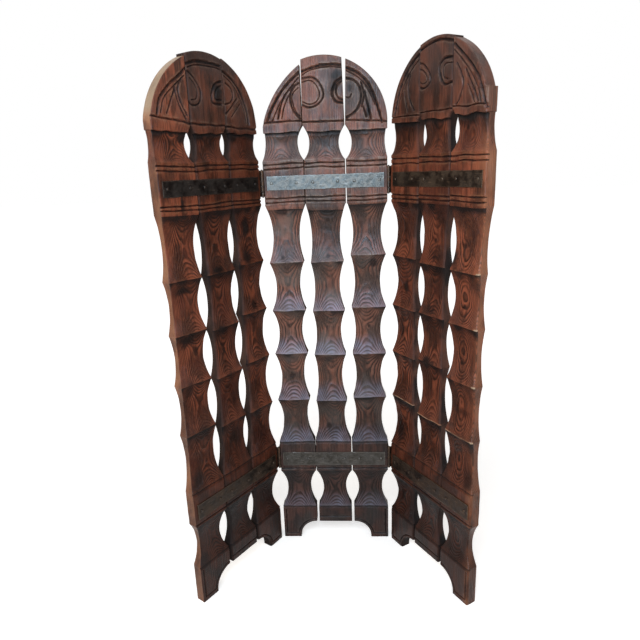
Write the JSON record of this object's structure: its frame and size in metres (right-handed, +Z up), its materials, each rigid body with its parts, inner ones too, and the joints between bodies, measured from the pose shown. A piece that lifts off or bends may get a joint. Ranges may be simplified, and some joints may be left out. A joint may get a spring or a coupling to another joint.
{
  "type": "folding screen",
  "caption": "Folding floor screen with arched panels of scalloped, carved wooden planks held by flat iron straps; the side panels fold forward on iron butt hinges.",
  "frame": {"origin": "on the floor, under the middle of the screen's box with the side panels folded forward as it stands in the picture", "axes": "+Z up, -Y out of the carved front of the middle panel, +X to the right of someone facing the screen"},
  "size_m": [0.9846, 0.4056, 1.8315],
  "materials": {
    "stained_wood": "dark reddish-brown stain, worn satin",
    "strap_iron": "dark hammered strap, blue-grey to olive patina",
    "nail_iron": "blackened domed heads",
    "hinge_iron": "dark brown, rust in the joints"
  },
  "bodies": {
    "centre_panel": {"centre_left_plank": "stained_wood", "centre_middle_plank": "stained_wood", "centre_right_plank": "stained_wood", "centre_upper_strap": "strap_iron", "centre_upper_strap_nail_1": "nail_iron", "centre_upper_strap_nail_2": "nail_iron", "centre_upper_strap_nail_3": "nail_iron", "centre_upper_strap_nail_4": "nail_iron", "centre_upper_strap_nail_5": "nail_iron", "centre_upper_strap_nail_6": "nail_iron", "centre_lower_strap": "strap_iron", "centre_lower_strap_nail_1": "nail_iron", "centre_lower_strap_nail_2": "nail_iron", "centre_lower_strap_nail_3": "nail_iron", "centre_lower_strap_nail_4": "nail_iron", "centre_lower_strap_nail_5": "nail_iron", "centre_lower_strap_nail_6": "nail_iron", "left_wing_upper_hinge_fixed_leaf": "hinge_iron", "left_wing_lower_hinge_fixed_leaf": "hinge_iron", "right_wing_upper_hinge_fixed_leaf": "hinge_iron", "right_wing_lower_hinge_fixed_leaf": "hinge_iron"},
    "left_wing": {"left_wing_outer_plank": "stained_wood", "left_wing_middle_plank": "stained_wood", "left_wing_inner_plank": "stained_wood", "left_wing_upper_strap": "strap_iron", "left_wing_upper_strap_nail_1": "nail_iron", "left_wing_upper_strap_nail_2": "nail_iron", "left_wing_upper_strap_nail_3": "nail_iron", "left_wing_upper_strap_nail_4": "nail_iron", "left_wing_upper_strap_nail_5": "nail_iron", "left_wing_upper_strap_nail_6": "nail_iron", "left_wing_lower_strap": "strap_iron", "left_wing_lower_strap_nail_1": "nail_iron", "left_wing_lower_strap_nail_2": "nail_iron", "left_wing_lower_strap_nail_3": "nail_iron", "left_wing_lower_strap_nail_4": "nail_iron", "left_wing_lower_strap_nail_5": "nail_iron", "left_wing_lower_strap_nail_6": "nail_iron", "left_wing_upper_hinge_moving_leaf": "hinge_iron", "left_wing_lower_hinge_moving_leaf": "hinge_iron"},
    "right_wing": {"right_wing_inner_plank": "stained_wood", "right_wing_middle_plank": "stained_wood", "right_wing_outer_plank": "stained_wood", "right_wing_upper_strap": "strap_iron", "right_wing_upper_strap_nail_1": "nail_iron", "right_wing_upper_strap_nail_2": "nail_iron", "right_wing_upper_strap_nail_3": "nail_iron", "right_wing_upper_strap_nail_4": "nail_iron", "right_wing_upper_strap_nail_5": "nail_iron", "right_wing_upper_strap_nail_6": "nail_iron", "right_wing_lower_strap": "strap_iron", "right_wing_lower_strap_nail_1": "nail_iron", "right_wing_lower_strap_nail_2": "nail_iron", "right_wing_lower_strap_nail_3": "nail_iron", "right_wing_lower_strap_nail_4": "nail_iron", "right_wing_lower_strap_nail_5": "nail_iron", "right_wing_lower_strap_nail_6": "nail_iron", "right_wing_upper_hinge_moving_leaf": "hinge_iron", "right_wing_lower_hinge_moving_leaf": "hinge_iron"}
  },
  "joints": [
    {"name": "left_wing_fold", "type": "hinge", "parent": "centre_panel", "child": "left_wing", "pos_m": [-0.217, 0.15476, 0.9], "axis": [0, 0, 1], "range_deg": [-57, 123]},
    {"name": "right_wing_fold", "type": "hinge", "parent": "centre_panel", "child": "right_wing", "pos_m": [0.217, 0.15476, 0.9], "axis": [0, 0, -1], "range_deg": [-57, 33]}
  ]
}
